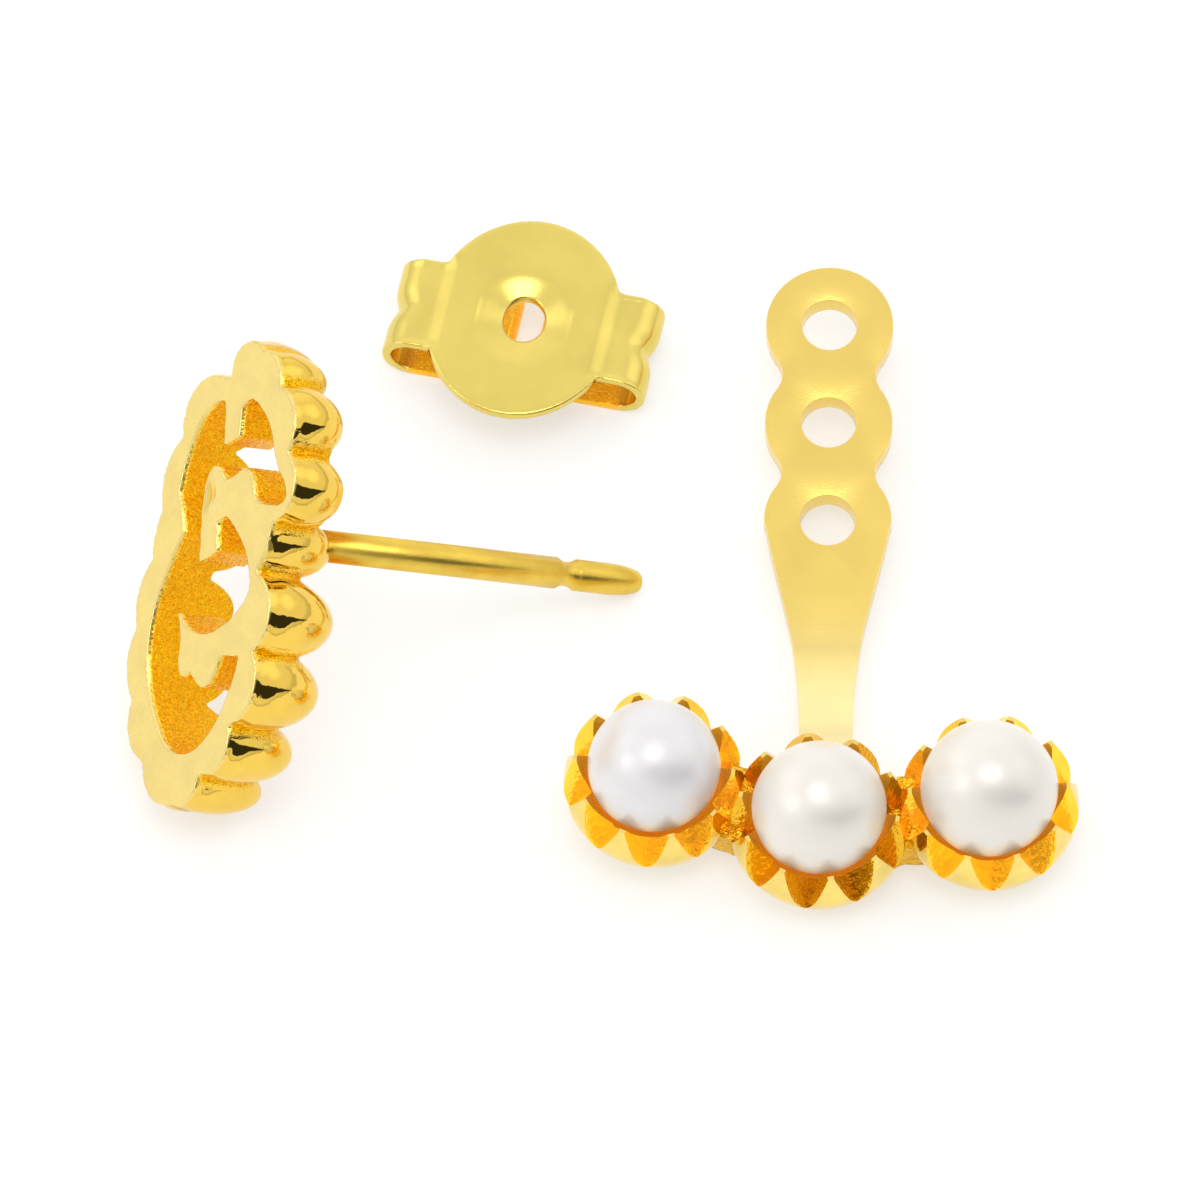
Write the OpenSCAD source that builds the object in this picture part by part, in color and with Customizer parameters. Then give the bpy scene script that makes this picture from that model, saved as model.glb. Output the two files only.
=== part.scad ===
// Stud earring with an openwork head, an ear jacket with three pearls and a friction back.
// The three loose parts lie side by side on a table at z = 0, the stud on its side.

/* [Stud] */
// Height of the openwork head, which scales its outline
head_h = 11.9; // [10:0.1:14]
// Depth of the head, from its flat face to the back of its ribs
head_depth = 2.3; // [2:0.05:2.6]
// Thickness of the face, which covers the feet of the ribs
face_t = 0.35; // [0.25:0.05:0.5]
// Depth of the hooks, the tongue and the metal between the ribs
web_depth = 1.4; // [1.2:0.05:1.6]
// Diameter of the ear post
post_d = 0.81; // [0.7:0.01:1]
// Length of the ear post, from the face of the head to its tip
post_l = 12; // [11:0.1:13]
// Diameter at the bottom of the groove that the friction back snaps into
groove_d = 0.62; // [0.5:0.01:0.69]

/* [Ear jacket] */
// Thickness of the plate and its neck
plate_t = 0.6; // [0.5:0.05:0.8]
// Diameter of each round lobe of the plate
lobe_d = 3.23; // [2.8:0.01:3.6]
// Diameter of the post holes in the lobes
hole_d = 1.4; // [1.1:0.05:1.5]
// Distance from one post hole to the next
hole_pitch = 2.73; // [2.5:0.01:3]
// Distance from the centre cup to the nearest post hole
hole_reach = 9.1; // [8.5:0.1:10]
// Width of the neck where it meets the centre cup
neck_w = 1.37; // [1.2:0.01:1.6]
// Height that the neck steps forward, to clear the edge of the ear lobe
neck_step = 0.87; // [0.7:0.01:1]
// Height of each cup, with its teeth
cup_h = 2.2; // [2:0.05:2.4]
// Number of teeth on each cup
cup_teeth = 10; // [8:1:12]
// Distance from the centre cup to each side cup
cup_pitch = 4.31; // [4.2:0.01:4.4]

/* [Pearls] */
// Diameter of the left pearl
left_pearl_d = 3.38; // [3:0.01:3.5]
// Diameter of the centre pearl
centre_pearl_d = 3.42; // [3:0.01:3.5]
// Diameter of the right pearl
right_pearl_d = 3.5; // [3:0.01:3.5]
// Diameter of the peg that each pearl is glued on
peg_d = 0.7; // [0.5:0.05:0.9]

/* [Friction back] */
// Width of the disc, across the wings
disc_w = 4.92; // [4.5:0.01:5.2]
// Length of the disc, along the rolls
disc_l = 5.9; // [5:0.1:6]
// Thickness of the sheet
sheet_t = 0.25; // [0.2:0.01:0.3]
// Diameter of the hole for the post
clutch_hole_d = 0.98; // [0.9:0.01:1.1]
// Width of the wings, along the rolls
wing_w = 2.62; // [2.2:0.01:3]
// Span over both rolled wings
wing_span = 6.84; // [6.4:0.01:7.4]
// Height of the rolls
roll_h = 1.55; // [1.4:0.05:1.8]

/* [Hidden] */

head_gold = "#f0dc96";
jacket_gold = "#f5d978";
clutch_gold = "#ebd778";
cool_pearl = "#f1f0f2";
warm_pearl = "#f6f0e8";

round_fn = 64;
bend_steps = 3;
overlap = 0.4;

// Where each loose part lies, and how it is turned on the table
// The stud rests on its lowest rib and the tip of its post
set_centre = [-0.0542, -0.3478, 0];
stud_at = [-8.84, -2.3, 6.658];
stud_turn = [44.54, -41.34, -40.78];
// The jacket touches the table where its neck bends and under the centre cup
jacket_tilt = 7.16;
jacket_at = [5.51, -7.21, 0];
// The friction back stands on its two rolls, with the disc uppermost
clutch_at = [-1.94, 7.496, 0];
clutch_turn = -12;

// Outline of the head: each row starts a scallop, and its bulge is the height of its arc
// columns: across, up, bulge
scallops = [
    [-0.49, 5.02, 0.61], [0.88, 5.89, 0.29], [1.74, 5.04, 0.50], [2.41, 3.41, 0.63],
    [2.12, 1.64, 0.08], [1.62, 0.31, 0.70], [1.83, -1.66, 0.61], [1.16, -3.57, 0.54],
    [0.07, -4.90, 0.38], [-1.05, -5.74, 0.43], [-2.46, -4.79, 0.41], [-3.27, -3.27, 0.32],
    [-3.43, -1.43, 0.28], [-3.06, 0.33, 0.11], [-2.87, 1.59, 0.34], [-2.34, 3.48, 0.79]
];
scallop_steps = 8;
// Behind the face the metal is drawn in towards this middle of the outline
outline_middle = [-0.5, 0];
web_share = 0.92;
traced_head_h = 11.9;
traced_head_depth = 2.3;
head_k = head_h / traced_head_h;
// The thumb-shaped rib behind each scallop, columns: across, up, radius, depth
ribs = [
    [0.27, 5.34, 0.83, 2.05], [1.08, 5.23, 0.69, 1.70], [1.75, 4.17, 0.95, 1.82],
    [2.04, 2.56, 0.97, 1.86], [1.24, 1.13, 0.91, 2.28], [1.48, -0.70, 1.07, 2.40],
    [1.16, -2.50, 1.09, 2.42], [0.39, -4.05, 0.93, 2.40], [-0.67, -5.08, 0.76, 2.36],
    [-1.54, -4.94, 0.92, 2.40], [-2.49, -3.83, 0.93, 2.40], [-2.78, -2.30, 1.00, 2.40],
    [-2.76, -0.68, 0.90, 2.35], [-2.46, 0.88, 0.69, 2.30], [-2.03, 2.37, 1.06, 2.20],
    [-1.26, 4.06, 1.17, 2.10]
];
rib_inset = 0.09;
rib_foot = 0.86;
rib_swell = 0.5;
rib_lean = 4;
rib_steps = 8;

// Runs of the opening's edge, one after another round it: a run of two points is straight
// columns: across, up
opening_runs = [
    [[-0.61, 4.47], [-1.07, 4.41], [-1.62, 3.85], [-2.00, 2.96], [-2.19, 2.09]],
    [[-2.19, 2.09], [-1.97, 1.63], [-1.79, 1.08]],
    [[-1.79, 1.08], [-2.14, 0.48], [-2.65, -0.77], [-2.78, -1.83], [-2.58, -2.79], [-2.15, -3.56],
        [-1.48, -4.28], [-0.72, -4.43], [-0.01, -4.14], [0.68, -3.36], [1.10, -2.40], [1.24, -1.85]],
    [[1.24, -1.85], [0.45, -1.88]],
    [[0.45, -1.88], [0.18, -2.50], [-0.19, -2.74], [-0.57, -2.60], [-0.84, -2.35]],
    [[-0.84, -2.35], [-1.17, -2.55], [-1.40, -2.22], [-1.44, -1.53], [-1.67, -0.87]],
    [[-1.67, -0.87], [-1.12, -1.25], [-0.37, -1.37], [0.38, -1.11], [0.98, -0.69], [1.33, -0.20],
        [1.31, 0.24], [1.01, 0.79], [0.55, 1.25], [0.03, 1.58], [-0.33, 1.48]],
    [[-0.33, 1.48], [-0.21, 0.72]],
    [[-0.21, 0.72], [-0.98, 0.38]],
    [[-0.98, 0.38], [-1.07, 1.23], [-1.15, 2.12], [-0.97, 2.71], [-0.66, 2.89], [-0.17, 2.54]],
    [[-0.17, 2.54], [0.18, 2.69], [0.61, 2.91], [0.95, 2.71], [1.18, 2.17]],
    [[1.18, 2.17], [1.68, 2.04], [2.23, 2.07], [2.51, 2.27], [2.38, 2.64], [2.03, 2.96],
        [1.79, 3.37], [1.56, 3.85], [1.23, 4.24], [0.78, 4.54], [0.43, 4.59], [0.18, 4.42]],
    [[0.18, 4.42], [0.22, 3.65]],
    [[0.22, 3.65], [-0.47, 3.37]],
    [[-0.47, 3.37], [-0.61, 4.47]]
];
// Where the post stands on the back of the head, and how deep its root is set
post_at = [1.1, 1.16];
post_root = 2;
groove_from_tip = [1.92, 2.57];
groove_steps = 8;
tip_taper = 0.75;
tip_d = 0.56;

// Half widths of the neck, on its way from the lowest lobe to the centre cup
// columns: up, half width
neck_widths = [
    [9.10, 1.60], [8.20, 1.42], [7.10, 1.16], [6.00, 0.92], [5.00, 0.78], [4.00, 0.70]
];
// The waist between two lobes: its half width in the middle and at its ends, as shares of a
// lobe's radius, and its reach along the plate, as a share of the hole pitch
waist_share = 0.73;
waist_end_share = 0.86;
waist_reach = 0.2;
waist_steps = 4;
neck_offset = 0.15;
neck_lean = 0.67;
bend_high = 2.6;
bend_low = 5.7;
bend_lift_steps = 8;
neck_end = 1.7;
// Wall of a cup outside and inside, columns: radius, height
cup_outside = [
    [1.35, 0], [1.75, 0.12], [2.02, 0.40], [2.20, 0.80], [2.28, 1.20], [2.22, 1.65], [2.05, 2.20]
];
cup_inside = [
    [1.86, 2.20], [1.85, 1.90], [1.78, 1.60], [1.62, 1.25], [1.35, 0.90], [1.00, 0.60], [0.70, 0.40]
];
// Bottom line of a notch, from beside the pearl out and down to the outside of the wall
notch_line = [[1.60, 1.31], [2.20, 0.75]];
traced_cup_h = 2.2;
cup_floor = 0.4;
tooth_tip = 0.14;
rim_r = cup_outside[len(cup_outside) - 1][0];
// The cast web that joins two cups: across the joint, along it, and its lowest and highest level
web_across = 0.8;
web_along = 2;
web_level = [0.25, 1.2];
cup_rise = 11.15;
cup_bar_turn = 4.35;
tooth_phase = [30.5, 26.3, 2.1];
left_cup = cup_pitch * [-cos(cup_rise + cup_bar_turn), sin(cup_rise + cup_bar_turn)];
right_cup = cup_pitch * [cos(cup_rise - cup_bar_turn), sin(cup_rise - cup_bar_turn)];
cups = [left_cup, [0, 0], right_cup];
pearl_gap = 0.05;
peg_h = 1.2;
peg_gap = 0.04;

roll_r = (roll_h - sheet_t) / 2;
roll_x = wing_span / 2 - sheet_t / 2 - roll_r;
grip_r = 0.42;
grip_x = 0.94;
grip_end = -230;
roll_steps = 12;

// A smooth open run through the points, without its last point
function smooth_run(p, steps) = [
    for (i = [0 : len(p) - 2], s = [0 : steps - 1])
        let (t = s / steps, b = p[i], c = p[i + 1])
        let (a = p[max(i - 1, 0)], d = p[min(i + 2, len(p) - 1)])
        b + ((c - a) * t + (2 * a - 5 * b + 4 * c - d) * t ^ 2 + (3 * b - a - 3 * c + d) * t ^ 3) / 2
];

// A run of two points is a straight side
function run_points(p) = len(p) == 2 ? [p[0]] : smooth_run(p, bend_steps);

// Unit vector from one point to another
function aim(a, b) = (b - a) / norm(b - a);

// Outward side of a chord that runs clockwise
function outward(a, b) = [-aim(a, b)[1], aim(a, b)[0]];

// Points along the arc over a chord, without its last point
function arc_over(a, b, bulge, steps) =
    let (half = norm(b - a) / 2, r = (half ^ 2 + bulge ^ 2) / (2 * bulge), sweep = asin(half / r))
    let (centre = (a + b) / 2 + outward(a, b) * (bulge - r))
    [
        for (s = [0 : steps - 1])
            let (turn = sweep * (2 * s / steps - 1))
            centre + r * (outward(a, b) * cos(turn) + aim(a, b) * sin(turn))
    ];

// Both sides of a sheet of even thickness that follows a path
function ribbon(path, t) =
    let (last = len(path) - 1)
    let (sides = [
        for (i = [0 : last])
            outward(path[max(i - 1, 0)], path[min(i + 1, last)]) * t / 2
    ])
    concat(
        [for (i = [0 : last]) path[i] + sides[i]],
        [for (i = [last : -1 : 0]) path[i] - sides[i]]
    );

// Points on an arc of a path, turning from one angle to the other
function turn_points(centre, r, from, to, steps) = [
    for (s = [0 : steps])
        let (angle = from + (to - from) * s / steps)
        centre + r * [cos(angle), sin(angle)]
];

function scallop_start(i) = let (row = scallops[i % len(scallops)]) head_k * [row[0], row[1]];

function scallop_bulge(i) = head_k * scallops[i][2];

// Scalloped rim of the head's face
module head_rim() {
    polygon([
        for (i = [0 : len(scallops) - 1])
            each arc_over(scallop_start(i), scallop_start(i + 1), scallop_bulge(i), scallop_steps)
    ]);
}

module head_opening() {
    polygon(head_k * [for (run = opening_runs) each run_points(run)]);
}

// A thumb that stands on z = 0: it swells from a narrower foot and closes in an ellipse
module thumb(r, h) {
    rotate_extrude($fn = round_fn)
        polygon([
            [0, 0],
            [rib_foot * r, 0],
            for (s = [0 : rib_steps])
                let (turn = 90 * s / rib_steps)
                [r * cos(turn), rib_swell + (h - rib_swell) * sin(turn)]
        ]);
}

// One rib of the rim, which leans a little from the face down to its tip
module rib(row) {
    translate([head_k * row[0], head_k * row[1], -rib_inset])
        rotate([180 - rib_lean, 0, 0])
            thumb(head_k * row[2], row[3] * head_depth / traced_head_depth);
}

// The ear post, with its groove and tapered tip, standing on z = 0
module post(length) {
    r = post_d / 2;
    groove_top = length - groove_from_tip[0];
    groove_foot = length - groove_from_tip[1];
    groove_depth = (post_d - groove_d) / 2;
    rotate_extrude($fn = round_fn)
        polygon([
            [0, 0],
            [r, 0],
            each arc_over([r, groove_foot], [r, groove_top], groove_depth, groove_steps),
            [r, groove_top],
            [r, length - tip_taper],
            [tip_d / 2, length],
            [0, length]
        ]);
}

// Head and post soldered into one piece, with the face of the head on z = 0
module stud_solid() {
    union() {
        difference() {
            union() {
                translate([0, 0, -face_t])
                    linear_extrude(face_t)
                        head_rim();
                translate(head_k * (1 - web_share) * outline_middle)
                    translate([0, 0, -web_depth])
                        linear_extrude(web_depth - face_t / 2)
                            scale(web_share)
                                head_rim();
                for (row = ribs)
                    rib(row);
            }
            translate([0, 0, -head_depth - overlap])
                linear_extrude(head_depth + 2 * overlap)
                    head_opening();
        }
        translate([head_k * post_at[0], head_k * post_at[1], -post_root])
            mirror([0, 0, 1])
                post(post_l - post_root);
    }
}

module stud() {
    color(head_gold)
        translate(set_centre + stud_at)
            rotate(stud_turn)
                translate([-head_k * post_at[0], -head_k * post_at[1], 0])
                    stud_solid();
}

function hole_up(i) = hole_reach + i * hole_pitch;

// One side of the waist between two lobes, hollowed towards the middle
function waist_side(i) = [
    for (k = [-waist_steps : waist_steps])
        let (s = k / waist_steps, share = waist_share + (waist_end_share - waist_share) * s ^ 2)
        [lobe_d / 2 * share, hole_up(i) + hole_pitch * (1 / 2 + waist_reach * s)]
];

// A band that is as wide on the left as on the right
module even_band(right_side) {
    last = len(right_side) - 1;
    left_side = [for (k = [last : -1 : 0]) [-right_side[k][0], right_side[k][1]]];
    polygon(concat(right_side, left_side));
}

// Flat outline of the plate: three lobes, the waists between them, and the neck
module plate_outline() {
    for (i = [0 : 2])
        translate([0, hole_up(i)])
            circle(d = lobe_d, $fn = round_fn);
    for (i = [0 : 1])
        even_band(waist_side(i));
    neck_side = smooth_run([for (row = neck_widths) [row[1], row[0]]], bend_steps);
    neck_foot = neck_widths[len(neck_widths) - 1][0];
    even_band(concat(neck_side, [[neck_w / 2, neck_foot], [neck_w / 2, neck_end]]));
}

// Height of the neck's underside, which steps forward from the plate to the cup
function neck_lift(v) =
    let (t = (bend_low - v) / (bend_low - bend_high))
    neck_step * (1 - cos(180 * min(max(t, 0), 1))) / 2;

// Side view of the plate and its stepped neck
module plate_side() {
    far = hole_up(2) + lobe_d;
    bend = [
        for (s = [0 : bend_lift_steps])
            let (v = bend_low + (bend_high - bend_low) * s / bend_lift_steps)
            [v, neck_lift(v)]
    ];
    path = concat([[far, 0]], bend, [[neck_end, neck_step]]);
    polygon(concat(path, [for (k = [len(path) - 1 : -1 : 0]) path[k] + [0, plate_t]]));
}

module plate() {
    translate([neck_offset, 0, 0])
        rotate(-neck_lean)
            intersection() {
                translate([0, 0, -overlap])
                    linear_extrude(neck_step + plate_t + 2 * overlap)
                        plate_outline();
                translate([-lobe_d, 0, 0])
                    rotate([90, 0, 90])
                        linear_extrude(2 * lobe_d)
                            plate_side();
            }
}

// The post holes through the three lobes
module post_holes() {
    translate([neck_offset, 0, 0])
        rotate(-neck_lean)
            for (i = [0 : 2])
                translate([0, hole_up(i), -overlap])
                    cylinder(d = hole_d, h = plate_t + 2 * overlap, $fn = round_fn);
}

function cup_profile(rows) = [for (row = rows) [row[0], row[1] * cup_h / traced_cup_h]];

module cup_body() {
    rotate_extrude($fn = round_fn)
        polygon(concat([[0, 0]], cup_profile(cup_outside), [[0, cup_h]]));
}

// The hollow that the pearl sits in
module cup_hollow() {
    above = [[0, cup_h + overlap], [cup_inside[0][0], cup_h + overlap]];
    rotate_extrude($fn = round_fn)
        polygon(concat(above, cup_profile(cup_inside), [[0, cup_floor]]));
}

// Cuts one V-shaped notch, on the +X side, whose bottom line slopes out through the wall
module notch() {
    line = cup_profile(notch_line);
    slope = aim(line[0], line[1]);
    lean = atan2(-slope[1], slope[0]);
    tip_above = ([rim_r, cup_h] - line[0]) * [-slope[1], slope[0]];
    tip_beside = rim_r * tan(180 / cup_teeth) - tooth_tip / 2;
    reach = 2;
    translate([line[0][0], 0, line[0][1]])
        rotate([0, lean, 0])
            translate([-reach / 2, 0, 0])
                rotate([90, 0, 90])
                    linear_extrude(1.2 * reach)
                        polygon(reach * [[0, 0], [tip_beside, tip_above], [-tip_beside, tip_above]]);
}

// One cup with its teeth, and the peg in its middle that holds the pearl
module cup(phase) {
    difference() {
        cup_body();
        cup_hollow();
        for (k = [0 : cup_teeth - 1])
            rotate(phase + (k + 0.5) * 360 / cup_teeth)
                notch();
    }
    translate([0, 0, cup_floor / 2])
        cylinder(d = peg_d, h = cup_floor / 2 + peg_h, $fn = round_fn);
}

// The web between the centre cup and a side cup
module web(place) {
    rotate(atan2(place[1], place[0]))
        translate([(norm(place) - web_across) / 2, -web_along / 2, neck_step + web_level[0]])
            cube([web_across, web_along, web_level[1] - web_level[0]]);
}

// Plate, neck, three toothed cups and their pegs, soldered into one piece
module ear_jacket_solid() {
    for (i = [0 : 2])
        translate([cups[i][0], cups[i][1], neck_step])
            cup(tooth_phase[i]);
    web(left_cup);
    web(right_cup);
    difference() {
        plate();
        post_holes();
    }
}

// Lays the jacket and its pearls on the table
module laid_jacket() {
    foot_r = cup_outside[0][0];
    lift = foot_r * sin(jacket_tilt) - neck_step * cos(jacket_tilt);
    translate(set_centre + jacket_at + [0, 0, lift])
        rotate([jacket_tilt, 0, 0])
            children();
}

module ear_jacket() {
    color(jacket_gold)
        laid_jacket()
            ear_jacket_solid();
}

// A half-drilled pearl, seated on the floor of its cup
module pearl(place, d, shade) {
    bore_h = peg_h + peg_gap;
    color(shade)
        laid_jacket()
            translate([place[0], place[1], neck_step + cup_floor])
                difference() {
                    translate([0, 0, pearl_gap + d / 2])
                        sphere(d = d, $fn = round_fn);
                    translate([0, 0, -overlap])
                        cylinder(d = peg_d + 2 * peg_gap, h = overlap + bore_h, $fn = round_fn);
                }
}

module pearl_left() {
    pearl(left_cup, left_pearl_d, cool_pearl);
}

module pearl_centre() {
    pearl([0, 0], centre_pearl_d, warm_pearl);
}

module pearl_right() {
    pearl(right_cup, right_pearl_d, warm_pearl);
}

// Middle line of one wing: out from the disc, down round the roll and in to the grip
function wing_path() = concat(
    [[disc_w / 4, roll_h - sheet_t / 2]],
    turn_points([roll_x, roll_h / 2], roll_r, 90, -90, roll_steps),
    turn_points([grip_x, grip_r + sheet_t / 2], grip_r, -90, grip_end, roll_steps)
);

module wing() {
    translate([0, wing_w / 2, 0])
        rotate([90, 0, 0])
            linear_extrude(wing_w)
                polygon(ribbon(wing_path(), sheet_t));
}

module disc() {
    translate([0, 0, roll_h - sheet_t])
        linear_extrude(sheet_t)
            polygon([
                for (k = [0 : round_fn - 1])
                    let (angle = k * 360 / round_fn)
                    [disc_w * cos(angle), disc_l * sin(angle)] / 2
            ]);
}

// One folded sheet: the disc with its hole, and a rolled wing on each side
module friction_back_solid() {
    difference() {
        union() {
            disc();
            wing();
            mirror([1, 0, 0])
                wing();
        }
        translate([0, 0, roll_h - sheet_t - overlap])
            cylinder(d = clutch_hole_d, h = sheet_t + 2 * overlap, $fn = round_fn);
    }
}

module friction_back() {
    color(clutch_gold)
        translate(set_centre + clutch_at)
            rotate(clutch_turn)
                friction_back_solid();
}

stud();
ear_jacket();
pearl_left();
pearl_centre();
pearl_right();
friction_back();
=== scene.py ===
"""A stud earring, its ear jacket and its friction back, laid out on a pale table.

Outlines and sizes are in millimetres, as in the part's source. A piece is made in its own
frame in millimetres, and a placing matrix turns it into metres where the part lies.
"""
import math

import bmesh
import bpy
import numpy as np
from mathutils import Matrix, Vector, noise


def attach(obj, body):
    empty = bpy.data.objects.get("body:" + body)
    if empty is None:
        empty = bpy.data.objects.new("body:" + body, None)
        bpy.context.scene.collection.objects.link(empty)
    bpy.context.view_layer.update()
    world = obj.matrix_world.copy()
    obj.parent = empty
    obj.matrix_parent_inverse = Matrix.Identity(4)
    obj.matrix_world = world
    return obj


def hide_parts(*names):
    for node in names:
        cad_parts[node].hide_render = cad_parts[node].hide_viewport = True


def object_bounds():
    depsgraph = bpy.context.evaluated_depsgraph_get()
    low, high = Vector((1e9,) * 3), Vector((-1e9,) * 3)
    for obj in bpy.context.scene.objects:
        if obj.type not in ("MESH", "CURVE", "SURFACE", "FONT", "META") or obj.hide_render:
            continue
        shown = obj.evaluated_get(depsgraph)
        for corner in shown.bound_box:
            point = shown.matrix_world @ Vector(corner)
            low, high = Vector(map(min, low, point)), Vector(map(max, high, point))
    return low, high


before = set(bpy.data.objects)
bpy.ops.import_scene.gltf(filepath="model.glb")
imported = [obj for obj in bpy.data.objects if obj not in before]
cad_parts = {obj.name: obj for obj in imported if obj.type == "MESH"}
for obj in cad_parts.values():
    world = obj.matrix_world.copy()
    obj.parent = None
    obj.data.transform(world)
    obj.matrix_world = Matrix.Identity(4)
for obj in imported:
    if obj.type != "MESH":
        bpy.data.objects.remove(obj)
cad_low, cad_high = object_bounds()

MM = 0.001

# Camera, as the photograph was taken
PHOTO_PX = 1200
PX_PER_MM = 39.5
CAMERA_TILT = 58
CAMERA_AWAY = 0.9
CAMERA_CLIP = (0.05, 5.0)
SENSOR_MM = 36

# Where the loose parts lie
SET_CENTRE = Vector((-0.0542, -0.3478, 0))
STUD_AT = Vector((-8.84, -2.3, 6.658))
STUD_TURN = (44.54, -41.34, -40.78)
JACKET_AT = Vector((5.51, -7.21, 0))
JACKET_TILT = 7.16
CLUTCH_AT = Vector((-1.94, 7.496, 0))
CLUTCH_TURN = -12

# Head: each row starts a scallop (across, up), and its bulge is the height of its arc
SCALLOPS = [
    (-0.49, 5.02, 0.61), (0.88, 5.89, 0.29), (1.74, 5.04, 0.50), (2.41, 3.41, 0.63),
    (2.12, 1.64, 0.08), (1.62, 0.31, 0.70), (1.83, -1.66, 0.61), (1.16, -3.57, 0.54),
    (0.07, -4.90, 0.38), (-1.05, -5.74, 0.43), (-2.46, -4.79, 0.41), (-3.27, -3.27, 0.32),
    (-3.43, -1.43, 0.28), (-3.06, 0.33, 0.11), (-2.87, 1.59, 0.34), (-2.34, 3.48, 0.79),
]
# Head: runs of the opening's edge, where a run of two points is straight
OPENING_RUNS = [
    [(-0.61, 4.47), (-1.07, 4.41), (-1.62, 3.85), (-2.00, 2.96), (-2.19, 2.09)],
    [(-2.19, 2.09), (-1.97, 1.63), (-1.79, 1.08)],
    [(-1.79, 1.08), (-2.14, 0.48), (-2.65, -0.77), (-2.78, -1.83), (-2.58, -2.79), (-2.15, -3.56),
     (-1.48, -4.28), (-0.72, -4.43), (-0.01, -4.14), (0.68, -3.36), (1.10, -2.40), (1.24, -1.85)],
    [(1.24, -1.85), (0.45, -1.88)],
    [(0.45, -1.88), (0.18, -2.50), (-0.19, -2.74), (-0.57, -2.60), (-0.84, -2.35)],
    [(-0.84, -2.35), (-1.17, -2.55), (-1.40, -2.22), (-1.44, -1.53), (-1.67, -0.87)],
    [(-1.67, -0.87), (-1.12, -1.25), (-0.37, -1.37), (0.38, -1.11), (0.98, -0.69), (1.33, -0.20),
     (1.31, 0.24), (1.01, 0.79), (0.55, 1.25), (0.03, 1.58), (-0.33, 1.48)],
    [(-0.33, 1.48), (-0.21, 0.72)],
    [(-0.21, 0.72), (-0.98, 0.38)],
    [(-0.98, 0.38), (-1.07, 1.23), (-1.15, 2.12), (-0.97, 2.71), (-0.66, 2.89), (-0.17, 2.54)],
    [(-0.17, 2.54), (0.18, 2.69), (0.61, 2.91), (0.95, 2.71), (1.18, 2.17)],
    [(1.18, 2.17), (1.68, 2.04), (2.23, 2.07), (2.51, 2.27), (2.38, 2.64), (2.03, 2.96),
     (1.79, 3.37), (1.56, 3.85), (1.23, 4.24), (0.78, 4.54), (0.43, 4.59), (0.18, 4.42)],
    [(0.18, 4.42), (0.22, 3.65)],
    [(0.22, 3.65), (-0.47, 3.37)],
    [(-0.47, 3.37), (-0.61, 4.47)],
]
HEAD_DEPTH = 2.3
FACE_T = 0.35
WEB_DEPTH = 1.4
# Head: behind the face the metal is drawn in towards this middle of the outline
OUTLINE_MIDDLE = Vector((-0.5, 0, 0))
WEB_SHARE = 0.92
# Head: the rib behind each scallop (across, up, radius, depth)
RIBS = [
    (0.27, 5.34, 0.83, 2.05), (1.08, 5.23, 0.69, 1.70), (1.75, 4.17, 0.95, 1.82),
    (2.04, 2.56, 0.97, 1.86), (1.24, 1.13, 0.91, 2.28), (1.48, -0.70, 1.07, 2.40),
    (1.16, -2.50, 1.09, 2.42), (0.39, -4.05, 0.93, 2.40), (-0.67, -5.08, 0.76, 2.36),
    (-1.54, -4.94, 0.92, 2.40), (-2.49, -3.83, 0.93, 2.40), (-2.78, -2.30, 1.00, 2.40),
    (-2.76, -0.68, 0.90, 2.35), (-2.46, 0.88, 0.69, 2.30), (-2.03, 2.37, 1.06, 2.20),
    (-1.26, 4.06, 1.17, 2.10),
]
RIB_INSET = 0.09
RIB_FOOT = 0.86
RIB_SWELL = 0.5
RIB_LEAN = 4
HEAD_VOXEL = 0.058
# Head: a dent in the face, its half sizes and how deep it and the metal that it moves are
DENT_AT, DENT_SIZE = (-0.82, 2.15), (0.22, 0.42)
DENT_DEPTH, DENT_BODY = 0.09, 0.4
# Head: where the face's finish ends below it, and where that of rough cast metal, with its painted
# orange bounce glow, ends away from the opening and from the scallops' cusps, and begins below the face
FACE_FADE = (0.02, 0.10)
WALL_FADE, CUSP_FADE, CAST_FADE = (0.10, 0.30), (0.12, 0.36), (0.05, 0.16)
POST_AT = Vector((1.1, 1.16))
POST_R = 0.405
POST_L = 12
POST_ROOT = 2.0
# Post: the clutch's groove, from and to this far back from the end, and the rounded tip
# (back from the end, radius)
GROOVE_BACK = (2.57, 1.92)
GROOVE_DEPTH = 0.095
POST_TIP = [(0.9, POST_R), (0.6, 0.39), (0.35, 0.36), (0.09, 0.30), (0.02, 0.26), (0, 0.2)]

# Ear jacket
PLATE_T = 0.6
PLATE_ROUND = 0.10
LOBE_R = 3.23 / 2
HOLES = 3
HOLE_R = 0.7
HOLE_PITCH = 2.73
HOLE_REACH = 9.1
# Half widths of the neck (up, half width)
NECK = [(9.10, 1.60), (8.20, 1.42), (7.10, 1.16), (6.00, 0.92), (5.00, 0.78), (4.00, 0.70)]
NECK_HALF = 0.685
NECK_END, NECK_EVEN = 1.7, 3.0
NECK_STEP = 0.87
NECK_OFFSET = 0.15
NECK_LEAN = 0.67
# The neck's bend, and the cuts across the plate that let it bend
BEND_HIGH, BEND_LOW = 2.6, 5.7
BEND_CUT, BEND_CUTS_END = 0.15, 6.1
# Where the painted highlight on the neck's foot ends
FOOT_HIGHLIGHT_FADE = (BEND_HIGH, BEND_LOW + 1.6)
WAIST_SHARE, WAIST_END_SHARE, WAIST_REACH = 0.73, 0.86, 0.2
# Where a lobe's round gives way to the waist, up from the lobe's centre
WAIST_REACH_UP = HOLE_PITCH * (0.5 - WAIST_REACH)
CUP_H = 2.2
CUP_TEETH = 10
CUP_PITCH = 4.31
CUP_ANGLES = {"left": 180 - 15.5, "right": 6.8}
TOOTH_PHASE = {"left": 30.5, "centre": 26.3, "right": 2.1}
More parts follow.
